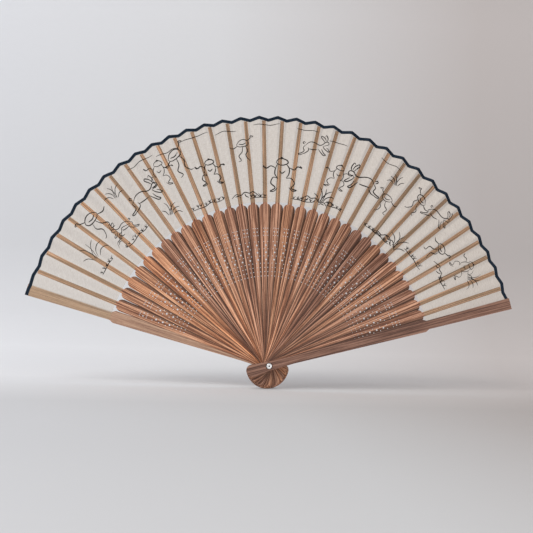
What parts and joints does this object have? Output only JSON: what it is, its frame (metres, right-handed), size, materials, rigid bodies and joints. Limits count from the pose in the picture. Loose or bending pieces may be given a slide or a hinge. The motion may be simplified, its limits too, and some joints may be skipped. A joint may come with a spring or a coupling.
{
  "type": "folding hand fan",
  "caption": "Open folding hand fan: overlapping pierced wooden ribs and plain guards turn on a hollow rivet and carry a short pleated cloth leaf with a dark bound edge.",
  "frame": {"origin": "on the rivet axis, halfway through the stack of bones", "axes": "+Z halfway between the two guards towards the leaf, +X across the open fan towards the front guard, -Y out of the front, printed face; the rivet axis is Y"},
  "size_m": [0.3988, 0.0252, 0.2248],
  "materials": {
    "rib_wood": "satin",
    "guard_wood": "satin",
    "rivet_metal": "satin",
    "leaf_cloth": "matte",
    "binding_cloth": "matte",
    "ink": "matte"
  },
  "bodies": {
    "guard_front": {"guard_front": "guard_wood"},
    "rib_01": {"rib_01": "rib_wood"},
    "rib_02": {"rib_02": "rib_wood"},
    "rib_03": {"rib_03": "rib_wood"},
    "rib_04": {"rib_04": "rib_wood"},
    "rib_05": {"rib_05": "rib_wood"},
    "rib_06": {"rib_06": "rib_wood"},
    "rib_07": {"rib_07": "rib_wood"},
    "rib_08": {"rib_08": "rib_wood"},
    "rib_09": {"rib_09": "rib_wood"},
    "rib_10": {"rib_10": "rib_wood"},
    "rib_11": {"rib_11": "rib_wood"},
    "rib_12": {"rib_12": "rib_wood"},
    "rib_13": {"rib_13": "rib_wood"},
    "rib_14": {"rib_14": "rib_wood"},
    "rib_15": {"rib_15": "rib_wood"},
    "rib_16": {"rib_16": "rib_wood"},
    "rib_17": {"rib_17": "rib_wood", "rivet": "rivet_metal", "washer_front": "rivet_metal", "washer_back": "rivet_metal", "leaf": "leaf_cloth", "leaf_binding": "binding_cloth"},
    "rib_18": {"rib_18": "rib_wood"},
    "rib_19": {"rib_19": "rib_wood"},
    "rib_20": {"rib_20": "rib_wood"},
    "rib_21": {"rib_21": "rib_wood"},
    "rib_22": {"rib_22": "rib_wood"},
    "rib_23": {"rib_23": "rib_wood"},
    "rib_24": {"rib_24": "rib_wood"},
    "rib_25": {"rib_25": "rib_wood"},
    "rib_26": {"rib_26": "rib_wood"},
    "rib_27": {"rib_27": "rib_wood"},
    "rib_28": {"rib_28": "rib_wood"},
    "rib_29": {"rib_29": "rib_wood"},
    "rib_30": {"rib_30": "rib_wood"},
    "rib_31": {"rib_31": "rib_wood"},
    "rib_32": {"rib_32": "rib_wood"},
    "rib_33": {"rib_33": "rib_wood"},
    "guard_back": {"guard_back": "guard_wood"}
  },
  "joints": [
    {"name": "fold_rib_16", "type": "hinge", "parent": "rib_17", "child": "rib_16", "pos_m": [0, 0, 0], "axis": [0, -1, 0], "range_deg": [0, 4.38], "deforming": ["leaf", "leaf_binding"]},
    {"name": "fold_rib_15", "type": "hinge", "parent": "rib_16", "child": "rib_15", "pos_m": [0, 0, 0], "axis": [0, -1, 0], "range_deg": [0, 4.4]},
    {"name": "fold_rib_14", "type": "hinge", "parent": "rib_15", "child": "rib_14", "pos_m": [0, 0, 0], "axis": [0, -1, 0], "range_deg": [0, 4.42]},
    {"name": "fold_rib_13", "type": "hinge", "parent": "rib_14", "child": "rib_13", "pos_m": [0, 0, 0], "axis": [0, -1, 0], "range_deg": [0, 4.44]},
    {"name": "fold_rib_12", "type": "hinge", "parent": "rib_13", "child": "rib_12", "pos_m": [0, 0, 0], "axis": [0, -1, 0], "range_deg": [0, 4.44]},
    {"name": "fold_rib_11", "type": "hinge", "parent": "rib_12", "child": "rib_11", "pos_m": [0, 0, 0], "axis": [0, -1, 0], "range_deg": [0, 4.43]},
    {"name": "fold_rib_10", "type": "hinge", "parent": "rib_11", "child": "rib_10", "pos_m": [0, 0, 0], "axis": [0, -1, 0], "range_deg": [0, 4.41]},
    {"name": "fold_rib_09", "type": "hinge", "parent": "rib_10", "child": "rib_09", "pos_m": [0, 0, 0], "axis": [0, -1, 0], "range_deg": [0, 4.38]},
    {"name": "fold_rib_08", "type": "hinge", "parent": "rib_09", "child": "rib_08", "pos_m": [0, 0, 0], "axis": [0, -1, 0], "range_deg": [0, 4.33]},
    {"name": "fold_rib_07", "type": "hinge", "parent": "rib_08", "child": "rib_07", "pos_m": [0, 0, 0], "axis": [0, -1, 0], "range_deg": [0, 4.28]},
    {"name": "fold_rib_06", "type": "hinge", "parent": "rib_07", "child": "rib_06", "pos_m": [0, 0, 0], "axis": [0, -1, 0], "range_deg": [0, 4.22]},
    {"name": "fold_rib_05", "type": "hinge", "parent": "rib_06", "child": "rib_05", "pos_m": [0, 0, 0], "axis": [0, -1, 0], "range_deg": [0, 4.16]},
    {"name": "fold_rib_04", "type": "hinge", "parent": "rib_05", "child": "rib_04", "pos_m": [0, 0, 0], "axis": [0, -1, 0], "range_deg": [0, 4.1]},
    {"name": "fold_rib_03", "type": "hinge", "parent": "rib_04", "child": "rib_03", "pos_m": [0, 0, 0], "axis": [0, -1, 0], "range_deg": [0, 4.05]},
    {"name": "fold_rib_02", "type": "hinge", "parent": "rib_03", "child": "rib_02", "pos_m": [0, 0, 0], "axis": [0, -1, 0], "range_deg": [0, 4.01]},
    {"name": "fold_rib_01", "type": "hinge", "parent": "rib_02", "child": "rib_01", "pos_m": [0, 0, 0], "axis": [0, -1, 0], "range_deg": [0, 3.98]},
    {"name": "fold_guard_front", "type": "hinge", "parent": "rib_01", "child": "guard_front", "pos_m": [0, 0, 0], "axis": [0, -1, 0], "range_deg": [0, 3.96]},
    {"name": "fold_rib_18", "type": "hinge", "parent": "rib_17", "child": "rib_18", "pos_m": [0, 0, 0], "axis": [0, 1, 0], "range_deg": [0, 4.35]},
    {"name": "fold_rib_19", "type": "hinge", "parent": "rib_18", "child": "rib_19", "pos_m": [0, 0, 0], "axis": [0, 1, 0], "range_deg": [0, 4.32]},
    {"name": "fold_rib_20", "type": "hinge", "parent": "rib_19", "child": "rib_20", "pos_m": [0, 0, 0], "axis": [0, 1, 0], "range_deg": [0, 4.3]},
    {"name": "fold_rib_21", "type": "hinge", "parent": "rib_20", "child": "rib_21", "pos_m": [0, 0, 0], "axis": [0, 1, 0], "range_deg": [0, 4.28]},
    {"name": "fold_rib_22", "type": "hinge", "parent": "rib_21", "child": "rib_22", "pos_m": [0, 0, 0], "axis": [0, 1, 0], "range_deg": [0, 4.28]},
    {"name": "fold_rib_23", "type": "hinge", "parent": "rib_22", "child": "rib_23", "pos_m": [0, 0, 0], "axis": [0, 1, 0], "range_deg": [0, 4.29]},
    {"name": "fold_rib_24", "type": "hinge", "parent": "rib_23", "child": "rib_24", "pos_m": [0, 0, 0], "axis": [0, 1, 0], "range_deg": [0, 4.31]},
    {"name": "fold_rib_25", "type": "hinge", "parent": "rib_24", "child": "rib_25", "pos_m": [0, 0, 0], "axis": [0, 1, 0], "range_deg": [0, 4.34]},
    {"name": "fold_rib_26", "type": "hinge", "parent": "rib_25", "child": "rib_26", "pos_m": [0, 0, 0], "axis": [0, 1, 0], "range_deg": [0, 4.39]},
    {"name": "fold_rib_27", "type": "hinge", "parent": "rib_26", "child": "rib_27", "pos_m": [0, 0, 0], "axis": [0, 1, 0], "range_deg": [0, 4.44]},
    {"name": "fold_rib_28", "type": "hinge", "parent": "rib_27", "child": "rib_28", "pos_m": [0, 0, 0], "axis": [0, 1, 0], "range_deg": [0, 4.5]},
    {"name": "fold_rib_29", "type": "hinge", "parent": "rib_28", "child": "rib_29", "pos_m": [0, 0, 0], "axis": [0, 1, 0], "range_deg": [0, 4.56]},
    {"name": "fold_rib_30", "type": "hinge", "parent": "rib_29", "child": "rib_30", "pos_m": [0, 0, 0], "axis": [0, 1, 0], "range_deg": [0, 4.62]},
    {"name": "fold_rib_31", "type": "hinge", "parent": "rib_30", "child": "rib_31", "pos_m": [0, 0, 0], "axis": [0, 1, 0], "range_deg": [0, 4.67]},
    {"name": "fold_rib_32", "type": "hinge", "parent": "rib_31", "child": "rib_32", "pos_m": [0, 0, 0], "axis": [0, 1, 0], "range_deg": [0, 4.71]},
    {"name": "fold_rib_33", "type": "hinge", "parent": "rib_32", "child": "rib_33", "pos_m": [0, 0, 0], "axis": [0, 1, 0], "range_deg": [0, 4.74]},
    {"name": "fold_guard_back", "type": "hinge", "parent": "rib_33", "child": "guard_back", "pos_m": [0, 0, 0], "axis": [0, 1, 0], "range_deg": [0, 4.76]}
  ],
  "couplings": [
    {"joint": "fold_rib_15", "follows": "fold_rib_16", "ratio": 1.0062},
    {"joint": "fold_rib_14", "follows": "fold_rib_16", "ratio": 1.0112},
    {"joint": "fold_rib_13", "follows": "fold_rib_16", "ratio": 1.0143},
    {"joint": "fold_rib_12", "follows": "fold_rib_16", "ratio": 1.015},
    {"joint": "fold_rib_11", "follows": "fold_rib_16", "ratio": 1.0129},
    {"joint": "fold_rib_10", "follows": "fold_rib_16", "ratio": 1.0079},
    {"joint": "fold_rib_09", "follows": "fold_rib_16", "ratio": 1.0001},
    {"joint": "fold_rib_08", "follows": "fold_rib_16", "ratio": 0.9898},
    {"joint": "fold_rib_07", "follows": "fold_rib_16", "ratio": 0.9776},
    {"joint": "fold_rib_06", "follows": "fold_rib_16", "ratio": 0.9642},
    {"joint": "fold_rib_05", "follows": "fold_rib_16", "ratio": 0.9504},
    {"joint": "fold_rib_04", "follows": "fold_rib_16", "ratio": 0.9372},
    {"joint": "fold_rib_03", "follows": "fold_rib_16", "ratio": 0.9253},
    {"joint": "fold_rib_02", "follows": "fold_rib_16", "ratio": 0.9157},
    {"joint": "fold_rib_01", "follows": "fold_rib_16", "ratio": 0.9088},
    {"joint": "fold_guard_front", "follows": "fold_rib_16", "ratio": 0.9053},
    {"joint": "fold_rib_18", "follows": "fold_rib_16", "ratio": 0.9932},
    {"joint": "fold_rib_19", "follows": "fold_rib_16", "ratio": 0.987},
    {"joint": "fold_rib_20", "follows": "fold_rib_16", "ratio": 0.9819},
    {"joint": "fold_rib_21", "follows": "fold_rib_16", "ratio": 0.9788},
    {"joint": "fold_rib_22", "follows": "fold_rib_16", "ratio": 0.9781},
    {"joint": "fold_rib_23", "follows": "fold_rib_16", "ratio": 0.9802},
    {"joint": "fold_rib_24", "follows": "fold_rib_16", "ratio": 0.9852},
    {"joint": "fold_rib_25", "follows": "fold_rib_16", "ratio": 0.9931},
    {"joint": "fold_rib_26", "follows": "fold_rib_16", "ratio": 1.0034},
    {"joint": "fold_rib_27", "follows": "fold_rib_16", "ratio": 1.0156},
    {"joint": "fold_rib_28", "follows": "fold_rib_16", "ratio": 1.029},
    {"joint": "fold_rib_29", "follows": "fold_rib_16", "ratio": 1.0427},
    {"joint": "fold_rib_30", "follows": "fold_rib_16", "ratio": 1.056},
    {"joint": "fold_rib_31", "follows": "fold_rib_16", "ratio": 1.0678},
    {"joint": "fold_rib_32", "follows": "fold_rib_16", "ratio": 1.0775},
    {"joint": "fold_rib_33", "follows": "fold_rib_16", "ratio": 1.0843},
    {"joint": "fold_guard_back", "follows": "fold_rib_16", "ratio": 1.0878}
  ]
}
